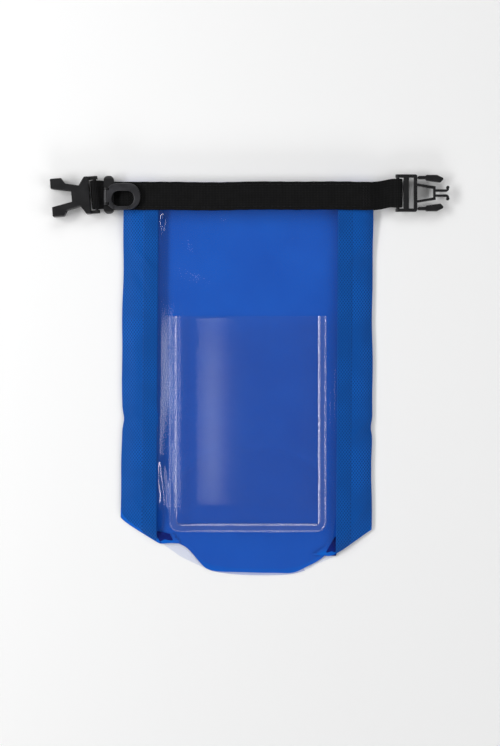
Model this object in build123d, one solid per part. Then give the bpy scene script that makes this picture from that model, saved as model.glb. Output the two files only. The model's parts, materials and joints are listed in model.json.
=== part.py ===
from build123d import *
import math
import os

# A flat, empty dry bag on its back: X across, Y from the base towards the mouth, Z up through its thickness.
# While it is modelled, X = 0 is its middle line and Y = 0 the lowest edge of its base. All sizes are in mm.

# Bag
bag_width = 178.0
bag_length = 277.8
bag_thickness = 8.0
fabric = 0.6
film = 0.5
window_width = 128.0
window_overlap = 10.0
hem_rise = 0.4

# Base panel and the folded corners beside it
base_side_reach = 23.5
base_offset = 4.0
corner_reach = 25.0
side_fold_end = 37.3
corner_height = 17.3
base_end_thickness = 2.2
weld_rim = 1.5
tape_width = 8.0
tape_thickness = 0.3

# Phone pocket
pocket_width = 112.0
pocket_length = 153.0
pocket_start = 29.7
pocket_border_width = 6.0
pocket_film = 0.4
pocket_depth = 4.7
pocket_slope = 6.0

# Roll of the mouth
first_band = 26.0
second_band = 28.0
fold_gap = 0.6

# Webbing, its stitches and the mouth's stiffener
webbing_width = 20.0
webbing = 1.4
strap_inset = 1.0
layer_gap = 0.06
stub_drop_length = 5.8
stub_under_start = 3.4
stub_under_drop = 2.1
bend = 1.2
stitch_margin = 2.3
stitch_width = 0.6
stitch_rise = 0.25
tack_length = 7.0
tack_inset = 1.0
stiffener_inset = 9.0
stiffener = 0.8
stiffener_width = 17.0
hem_wall = 0.4

# Buckle
buckle_height = 5.2
bar_radius = 1.2
bar_clearance = 0.6
slot_clearance = 1.0
frame_rail = 2.2
frame_thickness = 4.4
edge_fillet = 0.5
female_bar_reach = 19.3
female_rise = 1.0
female_tilt = 4.5
female_length = 32.5
female_mouth_width = 27.0
female_thickness = 8.4
female_prong = 8.0
female_shoulder = 2.4
female_waist = 7.3
female_flare = 2.2
female_frame_length = 3.2
female_corner = 0.8
socket_root_depth = 1.5
socket_root_side = 1.2
female_waist_place = 20.0
female_notch_length = 14.4
female_notch_mouth = 6.9
female_notch_root = 3.9
socket_height = 4.6
socket_half_width = 11.3
male_bar_reach = 17.0
male_rise = 2.2
male_thickness = 3.4
male_middle_bar = 3.7
male_open_slot = 3.5
male_crossbar = 2.4
male_corner = 1.5
guide_length = 13.0
guide_root_width = 13.6
guide_end_width = 9.4
guide_wall = 1.6
rod_length = 9.5
rod_gap = 2.0
rod_width = 1.6
rod_curl = 2.1
rod_rise = 0.9
rod_bead = 1.1
arm_thickness = 4.2
arm_root = 2.2
arm_root_length = 5.4
arm_centre = 11.0
pad_length = 13.5
pad_out = 12.8
pad_in = 8.9
pad_tip_out = 10.3
pad_tip_in = 7.5
pad_step = 1.0
pad_nose = 2.8
pad_taper = 5.2
pad_round = 1.1
arm_gap = 0.3

# Hook on the left end of the webbing
hook_base_reach = 6.4
hook_base_length = 7.0
hook_base_width = 26.9
hook_base_wall = 1.4
hook_base_gap = 0.5
hook_base_round = 2.7
hook_base_end = 3.2
hook_length = 24.8
hook_width = 18.6
hook_thickness = 3.2
hook_corner = 8.6
hook_hole_length = 15.6
hook_hole_width = 10.8
hook_hole_corner = 5.0
hook_hole_drop = 1.5
hook_lift = 0.35
hook_edge = 0.7
hook_pivot_inset = 0.6
hook_pivot_offset = 1.6
hook_drop = 1.6
pin_radius = 0.9
pin_clearance = 0.06
barrel_wall = 0.9
barrel_length = 8.0
lug = 1.8
lug_gap = 0.2
gate_start = 7.2
gate_length = 9.4
gate_gap = 0.3
gate_knuckle = 1.35
gate_knuckle_rise = 1.55

# Worked out from the sizes above
half_width = bag_width / 2
half_window = window_width / 2
half_sheet = half_window + window_overlap
base_half_length = half_width - base_side_reach
rim_length = 2 * bag_width
base_half_depth = math.sqrt(rim_length**2 / (2 * math.pi**2) - base_half_length**2)
ramp_start = pocket_start - 1.5
first_fold = bag_length - first_band
second_fold = first_fold - second_band
window_top = bag_thickness - fabric
strap_bottom = bag_thickness
strap_top = strap_bottom + webbing
strap_centre = bag_length - webbing_width / 2
loop_inner = bar_radius + bar_clearance
loop_outer = loop_inner + webbing
slot_half = webbing_width / 2 + slot_clearance
wall_reach = loop_outer + bar_clearance + bar_clearance / 2
female_bar = -(half_width + female_bar_reach)
male_bar = half_width + male_bar_reach
female_y = strap_centre + female_rise
male_y = strap_centre + male_rise
far = 2 * bag_length


def block(x0, x1, y0, y1, z0, z1):
    """A box between two corners."""
    centre = ((x0 + x1) / 2, (y0 + y1) / 2, (z0 + z1) / 2)
    return Pos(*centre) * Box(x1 - x0, y1 - y0, z1 - z0)


def prism(points, thickness, height=0.0):
    """A flat outline in X and Y, with a thickness centred on a height."""
    face = make_face(Polyline(*points, close=True))
    return Pos(0, 0, height) * extrude(face, thickness / 2, both=True)


def mirrored(points):
    """An outline given on its +Y side, closed by its mirror image."""
    return points + [(x, -y) for x, y in reversed(points) if y > 0]


def ribbon(points, radius, thickness, width, centre):
    """Webbing bent along points in X and Z, with its width along Y."""
    path = FilletPolyline(*points, radius=radius)
    section = Plane.XZ * make_face(offset(path, amount=thickness / 2, side=Side.BOTH))
    return Pos(0, centre, 0) * extrude(section, width / 2, both=True)


# Bag


def bag_plan(inset):
    """The bag's outline from above: straight sides, folded corners and the oval base."""
    corner = half_width - corner_reach
    sides = [
        (half_width, far),
        (half_width, side_fold_end),
        (corner, corner_height),
        (-corner, corner_height),
        (-half_width, side_fold_end),
        (-half_width, far),
    ]
    tube = make_face(Polyline(*sides, close=True))
    if inset:
        tube = offset(tube, amount=-inset, kind=Kind.INTERSECTION)
    return tube + base_oval(-inset)


def base_oval(grow=0.0):
    """The base panel's outline, whose rim is as long as the tube's."""
    return Pos(base_offset, base_half_depth) * Ellipse(base_half_length + grow, base_half_depth + grow)


def top_profile(inset, floor):
    """All that lies under the bag's upper surface, which slopes down over the base's end."""
    high = bag_thickness - inset
    low = base_end_thickness - inset
    points = [(far, floor), (far, high), (ramp_start, high), (0, low), (-weld_rim, low), (-weld_rim, floor)]
    section = Plane.YZ * make_face(Polyline(*points, close=True))
    return extrude(section, far, both=True)


def side_profile(inset):
    """The tube's round side folds, as a long bar of stadium section."""
    section = Plane.XZ * Pos(0, bag_thickness / 2) * SlotOverall(
        bag_width - 2 * inset, bag_thickness - 2 * inset
    )
    return extrude(section, far, both=True)


def bag_volume(inset):
    """The whole bag's volume, inset from its outer surface."""
    plan = extrude(bag_plan(inset), bag_thickness)
    return plan & side_profile(inset) & top_profile(inset, inset)


def window_volume(inset):
    """The space under the window, inset from the bag's outer surface and open to the back panel."""
    plan = Pos(0, 0, fabric) * extrude(bag_plan(inset), bag_thickness)
    return plan & top_profile(inset, fabric)


def band(solid, low, high):
    """The stretch of the bag between two heights along its length."""
    return solid & block(-far, far, low, high, -1, bag_thickness + 2)


def wrap():
    """The fabric: back panel, side folds and two front strips, cut out for the window and the base."""
    shell = bag_volume(0) - bag_volume(fabric)
    notch = block(-half_window, half_window, -2, far, fabric, bag_thickness + 1)
    base = extrude(base_oval(), fabric)
    return shell - notch - base


def window():
    """The clear sheet, tucked under the front strips and turned down to the base's edge."""
    sheet = window_volume(fabric) - window_volume(fabric + film)
    return sheet & block(-half_sheet, half_sheet, -2, far, fabric, bag_thickness)


def front_hem(side):
    """The strip's doubled edge over the window's seam, on one side."""
    layer = top_profile(-hem_rise, fabric) - top_profile(0, fabric)
    inner, outer = sorted((side * half_window, side * half_sheet))
    plan = extrude(bag_plan(0), bag_thickness + 1)
    return layer & plan & block(inner, outer, -2, far, fabric, bag_thickness + 1)


def base_panel():
    """The oval base, flat behind the window's lower end."""
    return extrude(base_oval(), fabric)


def base_rim():
    """The clear weld flange that stands out past the base's lower edge."""
    ring = extrude(base_oval(weld_rim), fabric) - extrude(base_oval(), fabric)
    return ring & block(-far, far, -far, corner_height, -1, bag_thickness)


def base_tape():
    """Seam tape inside, over the seam between the back panel and the base."""
    half = tape_width / 2
    ring = extrude(base_oval(half), tape_thickness) - extrude(base_oval(-half), tape_thickness)
    keep = block(-far, far, corner_height + half, far, -1, bag_thickness)
    return Pos(0, 0, fabric) * (ring & keep)


def bag_pieces():
    """Each piece of the tube in three stretches, split at the two fold lines."""
    stretches = {
        "main": (-weld_rim, second_fold - fold_gap / 2),
        "middle": (second_fold + fold_gap / 2, first_fold - fold_gap / 2),
        "mouth": (first_fold + fold_gap / 2, bag_length),
    }
    whole = {
        "wrap": wrap(),
        "window": window(),
        "left_hem": front_hem(-1),
        "right_hem": front_hem(1),
    }
    pieces = {}
    for stretch, (low, high) in stretches.items():
        for name, solid in whole.items():
            end = min(high, bag_length - webbing_width) if "hem" in name else high
            pieces[f"{stretch}_{name}"] = band(solid, low, end)
    pieces["base_panel"] = base_panel()
    pieces["base_rim"] = base_rim()
    pieces["base_tape"] = base_tape()
    return pieces


# Phone pocket


def pocket_block(width, length, height, slope):
    """A low block with sloped sides and bottom, straight at its open end."""
    top = pocket_start + pocket_length
    low = Pos(0, top - length / 2, 0) * Rectangle(width, length)
    short = length - slope
    high = Pos(0, top - short / 2, height) * Rectangle(width - 2 * slope, short)
    return loft([low.face(), high.face()])


def pocket():
    """The raised clear panel, open towards the mouth, and its welded border."""
    inner_width = pocket_width - 2 * pocket_border_width
    inner_length = pocket_length - pocket_border_width
    top = pocket_start + pocket_length
    outer = pocket_block(inner_width, inner_length, pocket_depth + pocket_film, pocket_slope)
    hollow = pocket_block(
        inner_width - 2 * pocket_film, inner_length - pocket_film, pocket_depth, pocket_slope
    )
    panel = outer - hollow
    border = block(-pocket_width / 2, pocket_width / 2, pocket_start, top, 0, pocket_film)
    border -= block(-inner_width / 2, inner_width / 2, top - inner_length, far, -1, 1)
    return {
        "pocket_panel": Pos(0, 0, window_top) * panel,
        "pocket_border": Pos(0, 0, window_top) * border,
    }


# Webbing


def strap():
    """The webbing that runs across the front of the mouth."""
    half = half_width - strap_inset
    return block(-half, half, bag_length - webbing_width, bag_length, strap_bottom, strap_top)


def end_loop(side, bar, rise, tilt):
    """One end of the webbing: it leaves the bag's edge doubled, drops and wraps the buckle's bar."""
    layer = webbing / 2 + layer_gap / 2
    spread = loop_inner + webbing / 2
    reach = abs(bar)
    drop_end = half_width + stub_drop_length
    wrap_start = reach - 2 * loop_inner
    wrap_full = reach - bar_radius
    low_start = half_width + stub_under_start
    top_stub = [
        (half_width - strap_inset, strap_bottom + webbing / 2),
        (half_width + layer_gap, strap_bottom + webbing / 2),
        (drop_end, buckle_height + layer),
        (wrap_start, buckle_height + layer),
    ]
    under_stub = [
        (low_start, strap_bottom - stub_under_drop),
        (drop_end, buckle_height - layer),
        (wrap_start, buckle_height - layer),
    ]
    half_wrap = [
        (wrap_start - webbing, layer),
        (wrap_start, layer),
        (wrap_full, spread),
        (reach + spread, spread),
        (reach + spread, 0),
    ]
    turn = spread * 0.95
    stub = bent_layer(top_stub, side, [bend, bend]) + bent_layer(under_stub, side, [bend])
    corner = (side * half_width, strap_centre, 0)
    angle = side * math.degrees(math.atan2(rise, wrap_start - half_width))
    stub = Pos(*corner) * Rot(0, 0, angle) * Pos(-corner[0], -corner[1], 0) * stub
    wraps = [
        bent_layer([(x, buckle_height + up * z) for x, z in half_wrap], side, [bend, bend, turn])
        for up in (-1, 1)
    ]
    turned = Pos(bar, strap_centre + rise, 0) * Rot(0, 0, tilt) * Pos(-bar, -strap_centre, 0)
    return stub + turned * (wraps[0] + wraps[1]) - strap()


def bent_layer(points, side, radii):
    """One layer of an end loop, drawn for the right side and mirrored for the left."""
    return ribbon([(side * x, z) for x, z in points], radii, webbing, webbing_width, strap_centre)


def strap_pieces():
    """Strap, end loops, stitch rows and bar tacks."""
    pieces = {
        "mouth_strap": strap(),
        "left_loop": end_loop(-1, female_bar, female_rise, female_tilt),
        "right_loop": end_loop(1, male_bar, male_rise, 0),
    }
    half = half_width - strap_inset
    tack_start = half - tack_inset - tack_length
    rows = {
        "upper_stitches": bag_length - stitch_margin,
        "lower_stitches": bag_length - webbing_width + stitch_margin,
    }
    for name, row in rows.items():
        pieces[name] = block(
            -tack_start + 1,
            tack_start - 1,
            row - stitch_width / 2,
            row + stitch_width / 2,
            strap_top,
            strap_top + stitch_rise,
        )
    for name, side in {"left_tack": -1, "right_tack": 1}.items():
        inner, outer = sorted((side * tack_start, side * (tack_start + tack_length)))
        pieces[name] = block(
            inner,
            outer,
            bag_length - webbing_width + stitch_margin,
            bag_length - stitch_margin,
            strap_top,
            strap_top + stitch_rise,
        )
    return pieces


def stiffener_pieces():
    """The plastic strip inside the back of the mouth and the hem that holds it."""
    half = half_width - stiffener_inset
    low = bag_length - webbing_width / 2 - stiffener_width / 2
    strip = block(-half, half, low, low + stiffener_width, fabric, fabric + stiffener)
    hem = block(
        -half,
        half,
        low - hem_wall,
        low + stiffener_width + hem_wall,
        fabric,
        fabric + stiffener + hem_wall,
    )
    return {"mouth_stiffener": strip, "stiffener_hem": hem - strip}


# Buckle


def slot_frame(length, thickness):
    """A frame beside a webbing slot: a round end bar at X = 0 between two rails that run to +X."""
    half = slot_half + frame_rail
    rails = []
    for side in (-1, 1):
        middle = side * (slot_half + frame_rail / 2)
        rail = block(0, length, middle - frame_rail / 2, middle + frame_rail / 2, -thickness / 2, thickness / 2)
        end = Pos(0, middle, 0) * Rot(90, 0, 0) * Cylinder(thickness / 2, frame_rail)
        rails += [rail, end]
    bar = Rot(90, 0, 0) * Cylinder(bar_radius, 2 * half)
    frame = bar
    for piece in rails:
        frame += piece
    return frame


def female_buckle():
    """The socket half: two channelled prongs, a narrow waist and the slot frame, mouth towards +X."""
    bar_to_mouth = female_length - bar_radius
    prong_end = bar_to_mouth - female_prong
    waist = bar_to_mouth - female_waist_place
    half = female_mouth_width / 2
    waist_half = female_waist
    outline = [
        (wall_reach, slot_half + frame_rail),
        (wall_reach + female_frame_length, slot_half + frame_rail),
        (waist, waist_half),
        (prong_end - female_shoulder, waist_half + female_flare),
        (prong_end, half),
        (bar_to_mouth, half),
    ]
    body = prism(mirrored(outline), female_thickness)
    edges = body.edges().filter_by(GeomType.LINE).filter_by(Axis.Z)
    body = fillet(edges, female_corner)
    rims = body.faces().filter_by(Axis.Z).edges()
    body = chamfer(rims, edge_fillet)
    notch_root = bar_to_mouth - female_notch_length
    notch = [
        (notch_root, female_notch_root),
        (bar_to_mouth + 1, female_notch_mouth),
    ]
    body -= prism(mirrored(notch), female_thickness + 1)
    socket = [
        (notch_root - socket_root_depth, female_notch_root + socket_root_side),
        (prong_end - female_shoulder, female_notch_root + socket_root_side),
        (prong_end - female_shoulder, socket_half_width),
        (bar_to_mouth + 1, socket_half_width),
    ]
    body -= prism(mirrored(socket), socket_height)
    return slot_frame(wall_reach + 0.5, frame_thickness) + body


def male_frame():
    """The plug half without its arms: slot frame, second slot, guide and split rods, towards +X."""
    half = slot_half + frame_rail
    frame = slot_frame(wall_reach + 0.5, male_thickness)
    slot_start = wall_reach + male_middle_bar
    slot_end = slot_start + male_open_slot
    root = slot_end + male_crossbar
    plate = block(wall_reach, root, -half, half, -male_thickness / 2, male_thickness / 2)
    corners = plate.edges().filter_by(Axis.Z).sort_by(Axis.X)[-2:]
    plate = fillet(corners, male_corner)
    plate -= block(slot_start, slot_end, -slot_half, slot_half, -male_thickness, male_thickness)
    guide_end = root + guide_length
    outer = [(root - 0.5, guide_root_width / 2), (guide_end, guide_end_width / 2)]
    inner = [
        (root, guide_root_width / 2 - guide_wall),
        (guide_end - guide_wall, guide_end_width / 2 - guide_wall),
    ]
    guide = prism(mirrored(outer), male_thickness) - prism(mirrored(inner), male_thickness + 1)
    plug = frame + plate + guide
    tip = guide_end + rod_length
    for side in (-1, 1):
        near = side * rod_gap / 2
        wide = side * (rod_gap / 2 + rod_width)
        low, high = sorted((near, wide))
        plug += block(guide_end - 0.5, tip - rod_curl, low, high, -male_thickness / 2, male_thickness / 2)
        plug += rod_end(side, tip, (near + wide) / 2)
    return plug


def rod_end(side, tip, middle):
    """A rod's outward curl: a quarter turn, a short rise and a round bead on its end."""
    inner = rod_curl - rod_width
    start = tip - rod_curl
    centre = middle + side * (inner + rod_width / 2)
    low, high = sorted((centre, middle - side * rod_width))
    ring = Cylinder(rod_curl, male_thickness) - Cylinder(inner, 2 * male_thickness)
    quarter = block(start, tip + 1, low, high, -male_thickness, male_thickness)
    end = Pos(start, centre, 0) * ring & quarter
    top = centre + side * rod_rise
    low, high = sorted((centre, top))
    end += block(tip - rod_width, tip, low, high, -male_thickness / 2, male_thickness / 2)
    return end + Pos(tip - rod_width / 2, top, 0) * Cylinder(rod_bead, male_thickness)


def latch_arm(side):
    """One springy side arm of the plug: a thin root, then the thick pad that catches in the socket."""
    start = arm_start()
    pad = start + arm_root_length
    end = pad + pad_length
    low = arm_centre - arm_root / 2
    high = arm_centre + arm_root / 2
    points = [
        (start, side * low),
        (pad, side * low),
        (pad + pad_step, side * pad_in),
        (end - pad_nose, side * pad_tip_in),
        (end, side * pad_tip_out),
        (end - pad_taper, side * pad_out),
        (pad + pad_step, side * pad_out),
        (pad, side * high),
        (start, side * high),
    ]
    arm = prism(points, arm_thickness)
    root = arm.edges().filter_by(Axis.Z).sort_by(Axis.X)[:2]
    arm = fillet(root, arm_root / 2 - 0.05)
    nose = arm.edges().filter_by(Axis.Z).sort_by(Axis.X)[-3:]
    arm = fillet(nose, pad_round)
    rims = arm.faces().filter_by(Axis.Z).edges()
    return chamfer(rims, edge_fillet / 2)


def arm_start():
    """How far past the bar a latch arm begins."""
    return wall_reach + male_middle_bar + male_open_slot + male_crossbar + arm_gap


def buckle_pieces():
    """Both halves, laid on their end loops."""
    to_female = Pos(female_bar, female_y, buckle_height) * Rot(0, 0, 180 + female_tilt)
    to_male = Pos(male_bar, male_y, buckle_height)
    return {
        "female_buckle": to_female * female_buckle(),
        "male_frame": to_male * male_frame(),
        "upper_latch": to_male * latch_arm(1),
        "lower_latch": to_male * latch_arm(-1),
    }


# Hook


def hook_base_x():
    """The middle of the hook's base loop, along the webbing."""
    return -(half_width + hook_base_reach + hook_base_length / 2)


def pivot_x():
    """The hook's pivot line, over the base loop."""
    return hook_base_x() - hook_pivot_offset


def pivot_height():
    """How high the hook's pivot lies, so that the ring clears the strap it lies over."""
    return strap_top + hook_lift + hook_thickness / 2 + stitch_rise


def hook_base():
    """A flat loop round the webbing, with two lugs on top for the hook's pin."""
    width = hook_base_width
    inner_width = webbing_width + 2 * slot_clearance
    inner_height = 2 * (webbing + hook_base_gap)
    outer_height = inner_height + 2 * hook_base_wall
    centre = Pos(hook_base_x(), female_y, buckle_height)
    loop = Box(hook_base_length, width, outer_height)
    corners = loop.edges().filter_by(Axis.X)
    loop = fillet(corners, hook_base_round)
    loop &= extrude(RectangleRounded(hook_base_length, width, hook_base_end), outer_height, both=True)
    loop -= Box(hook_base_length + 1, inner_width, inner_height)
    base = centre * loop
    top = buckle_height + outer_height / 2
    radius = pin_radius + barrel_wall
    for side in (-1, 1):
        near = barrel_length / 2 + lug_gap
        middle = ring_centre_y() + side * (near + lug / 2)
        post = block(
            pivot_x() - radius,
            pivot_x() + radius,
            middle - lug / 2,
            middle + lug / 2,
            top - hook_base_wall / 2,
            pivot_height(),
        )
        cap = Pos(pivot_x(), middle, pivot_height()) * Rot(90, 0, 0) * Cylinder(radius, lug)
        base += post + cap
    return base - pin(pin_length(), pin_radius)


def ring_centre_y():
    """The hook's middle, across the webbing."""
    return female_y - hook_drop


def pin_length():
    """The pin reaches through both lugs."""
    return barrel_length + 2 * (lug_gap + lug)


def pin(length, radius):
    """A round bar along the hook's pivot line."""
    return Pos(pivot_x(), ring_centre_y(), pivot_height()) * Rot(90, 0, 0) * Cylinder(radius, length)


def ring_blank():
    """The hook's closed ring, before its gate is cut out."""
    outline = RectangleRounded(hook_length, hook_width, hook_corner)
    hole = RectangleRounded(hook_hole_length, hook_hole_width, hook_hole_corner)
    face = outline - Pos(0, -hook_hole_drop) * hole
    ring = extrude(face, hook_thickness / 2, both=True)
    rims = ring.faces().filter_by(Axis.Z).edges()
    ring = fillet(rims, hook_edge)
    left = pivot_x() - hook_pivot_inset
    return Pos(left + hook_length / 2, ring_centre_y(), pivot_height()) * ring


def gate_pivot():
    """The gate's pivot point, in the ring's lower side."""
    x = pivot_x() - hook_pivot_inset + gate_start
    y = ring_centre_y() - hook_width / 2 + gate_knuckle_rise
    return x, y, pivot_height()


def gate_window(gap):
    """The stretch of the ring's lower side that the gate takes up, from its pivot to its tip."""
    x, _, z = gate_pivot()
    low = ring_centre_y() - hook_width / 2 - 1
    middle = ring_centre_y() - hook_hole_drop
    return block(x, x + gate_length + gap, low, middle, z - hook_thickness, z + hook_thickness)


def gate_round(gap):
    """The round knuckle at the gate's pivot."""
    return Pos(*gate_pivot()) * Cylinder(gate_knuckle + gap, hook_thickness)


def hook_ring():
    """The ring with a barrel for its pin and a gap for its gate."""
    ring = ring_blank() - gate_window(gate_gap) - gate_round(gate_gap)
    near = barrel_length / 2 + lug_gap
    relief = pin_radius + barrel_wall + lug_gap
    for side in (-1, 1):
        low, high = sorted((side * near, side * (near + lug + lug_gap)))
        ring -= block(
            pivot_x() - relief - hook_pivot_inset,
            pivot_x() + relief,
            ring_centre_y() + low,
            ring_centre_y() + high,
            pivot_height() - hook_thickness,
            pivot_height() + hook_thickness,
        )
    ring += pin(barrel_length, pin_radius + barrel_wall)
    return ring - pin(2 * barrel_length, pin_radius + pin_clearance)


def hook_gate():
    """The springy bar that closes the ring, with a round knuckle where it turns."""
    return (ring_blank() & gate_window(0)) + gate_round(0)


def hook_pieces():
    """Base loop, pin, ring and gate."""
    return {
        "hook_base": hook_base(),
        "hook_pin": pin(pin_length(), pin_radius),
        "hook_ring": hook_ring(),
        "hook_gate": hook_gate(),
    }


def main():
    """Builds every piece, centres the whole over the origin and writes one file each."""
    pieces = {}
    for make in (bag_pieces, pocket, strap_pieces, stiffener_pieces, buckle_pieces, hook_pieces):
        pieces.update(make())
    boxes = [solid.bounding_box() for solid in pieces.values()]
    left = min(box.min.X for box in boxes)
    right = max(box.max.X for box in boxes)
    near = min(box.min.Y for box in boxes)
    back = max(box.max.Y for box in boxes)
    floor = min(box.min.Z for box in boxes)
    shift = Pos(-(left + right) / 2, -(near + back) / 2, -floor)
    os.makedirs("parts", exist_ok=True)
    for name, solid in pieces.items():
        export_step(shift * solid, f"parts/{name}.step")
    return shift


if __name__ == "__main__":
    print("moved by", main().position)
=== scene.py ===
"""A small roll-top dry bag: blue ripstop wrap, clear front with a phone pocket, webbing mouth and buckle."""

import json
import logging
import math
from dataclasses import dataclass
from enum import Enum
from typing import Callable, Iterable, Sequence

import bmesh
import bpy
import numpy as np
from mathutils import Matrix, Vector, noise


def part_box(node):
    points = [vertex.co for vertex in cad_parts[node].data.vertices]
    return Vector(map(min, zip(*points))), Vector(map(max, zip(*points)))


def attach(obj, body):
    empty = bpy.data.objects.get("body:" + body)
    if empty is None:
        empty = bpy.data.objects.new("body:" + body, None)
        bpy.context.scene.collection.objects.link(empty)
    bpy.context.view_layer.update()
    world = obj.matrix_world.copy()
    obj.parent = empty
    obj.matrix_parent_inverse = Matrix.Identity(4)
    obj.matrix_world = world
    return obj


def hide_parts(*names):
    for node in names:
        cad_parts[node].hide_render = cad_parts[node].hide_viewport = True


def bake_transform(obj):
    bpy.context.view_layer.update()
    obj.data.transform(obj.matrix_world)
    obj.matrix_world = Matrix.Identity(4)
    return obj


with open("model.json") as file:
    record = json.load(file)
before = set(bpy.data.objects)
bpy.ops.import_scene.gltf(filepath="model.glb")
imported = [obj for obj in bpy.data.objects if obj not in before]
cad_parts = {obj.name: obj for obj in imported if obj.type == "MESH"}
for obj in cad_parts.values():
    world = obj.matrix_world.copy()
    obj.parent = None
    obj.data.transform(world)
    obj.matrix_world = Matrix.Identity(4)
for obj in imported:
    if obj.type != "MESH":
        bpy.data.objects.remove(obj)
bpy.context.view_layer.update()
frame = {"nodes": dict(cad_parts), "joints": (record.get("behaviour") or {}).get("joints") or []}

log = logging.getLogger("dry_bag")
MM = 0.001
Array = np.ndarray
Piece = bpy.types.Object
Socket = bpy.types.NodeSocket
Tree = bpy.types.NodeTree
Place = Callable[[Array, Array], Array]


# Materials


def linear(code: str) -> tuple[float, float, float, float]:
    """Turns an sRGB hex colour into linear RGBA.

    Args:
        code: Six hex digits.

    Returns:
        The linear colour with alpha 1.
    """
    channels = [int(code[i : i + 2], 16) / 255 for i in (0, 2, 4)]
    flat = [c / 12.92 if c <= 0.04045 else ((c + 0.055) / 1.055) ** 2.4 for c in channels]
    return (*flat, 1.0)


def add_node(
    tree: Tree,
    kind: str,
    settings: dict[str, object] | None = None,
    values: dict[str | int, object] | None = None,
    links: dict[str | int, Socket] | None = None,
) -> bpy.types.Node:
    """Adds one shader node.

    Args:
        tree: The material's node tree.
        kind: The node's type name.
        settings: Properties of the node itself.
        values: Default values of its input sockets.
        links: Output sockets to feed into its inputs.

    Returns:
        The new node.
    """
    node = tree.nodes.new(kind)
    for key, value in (settings or {}).items():
        setattr(node, key, value)
    for key, value in (values or {}).items():
        node.inputs[key].default_value = value
    for key, socket in (links or {}).items():
        tree.links.new(socket, node.inputs[key])
    return node


def new_material(name: str) -> tuple[bpy.types.Material, Tree, bpy.types.Node]:
    """Makes an empty node material with an output.

    Args:
        name: The material's name.

    Returns:
        The material, its tree and its output node.
    """
    material = bpy.data.materials.new(name)
    material.use_nodes = True
    tree = material.node_tree
    tree.nodes.clear()
    return material, tree, add_node(tree, "ShaderNodeOutputMaterial")


def maths(tree: Tree, operation: str, a: object, b: object = 0.0) -> Socket:
    """Adds one sum to a tree.

    Args:
        tree: The material's node tree.
        operation: The Math node's operation.
        a: A number or a socket.
        b: A number or a socket.

    Returns:
        The result's socket.
    """
    values = {i: x for i, x in enumerate((a, b)) if isinstance(x, (int, float))}
    links = {i: x for i, x in enumerate((a, b)) if not isinstance(x, (int, float))}
    return add_node(tree, "ShaderNodeMath", {"operation": operation}, values, links).outputs[0]


def cloth_map(tree: Tree) -> Socket:
    """The cloth's own flat map, in metres."""
    return add_node(tree, "ShaderNodeUVMap", {"uv_map": "flat"}).outputs[0]


def clouds_at(tree: Tree, place: Socket, size: float, detail: float) -> Socket:
    """Adds uneven clouds.

    Args:
        tree: The material's node tree.
        place: Where to read them, in metres.
        size: How big they are, in millimetres.
        detail: How many finer layers they have.

    Returns:
        The clouds' value from 0 to 1.
    """
    values = {"Scale": 1 / (size * MM), "Detail": detail}
    return add_node(tree, "ShaderNodeTexNoise", values=values, links={"Vector": place}).outputs[0]


def relief_of(tree: Tree, height: Socket, depth: float, strength: float) -> Socket:
    """Adds fine relief, with its depth in millimetres."""
    values = {"Strength": strength, "Distance": depth * MM}
    return add_node(tree, "ShaderNodeBump", values=values, links={"Height": height}).outputs[0]


def surface(
    tree: Tree,
    out: bpy.types.Node,
    values: dict[str | int, object],
    links: dict[str | int, Socket] | None = None,
) -> None:
    """Adds the main shader and joins it to the material's output."""
    shader = add_node(tree, "ShaderNodeBsdfPrincipled", values=values, links=links)
    tree.links.new(shader.outputs[0], out.inputs[0])


def ramp(tree: Tree, factor: Socket, low: str, high: str, start: float = 0.0, end: float = 1.0) -> Socket:
    """Blends between two colours.

    Args:
        tree: The material's node tree.
        factor: Where to read the ramp.
        low: Hex colour at the ramp's start.
        high: Hex colour at its end.
        start: Factor at which low begins to give way.
        end: Factor at which high is reached.

    Returns:
        The colour's socket.
    """
    node = add_node(tree, "ShaderNodeValToRGB", links={0: factor})
    node.color_ramp.elements[0].position = start
    node.color_ramp.elements[1].position = end
    node.color_ramp.elements[0].color = linear(low)
    node.color_ramp.elements[1].color = linear(high)
    return node.outputs[0]


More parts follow.
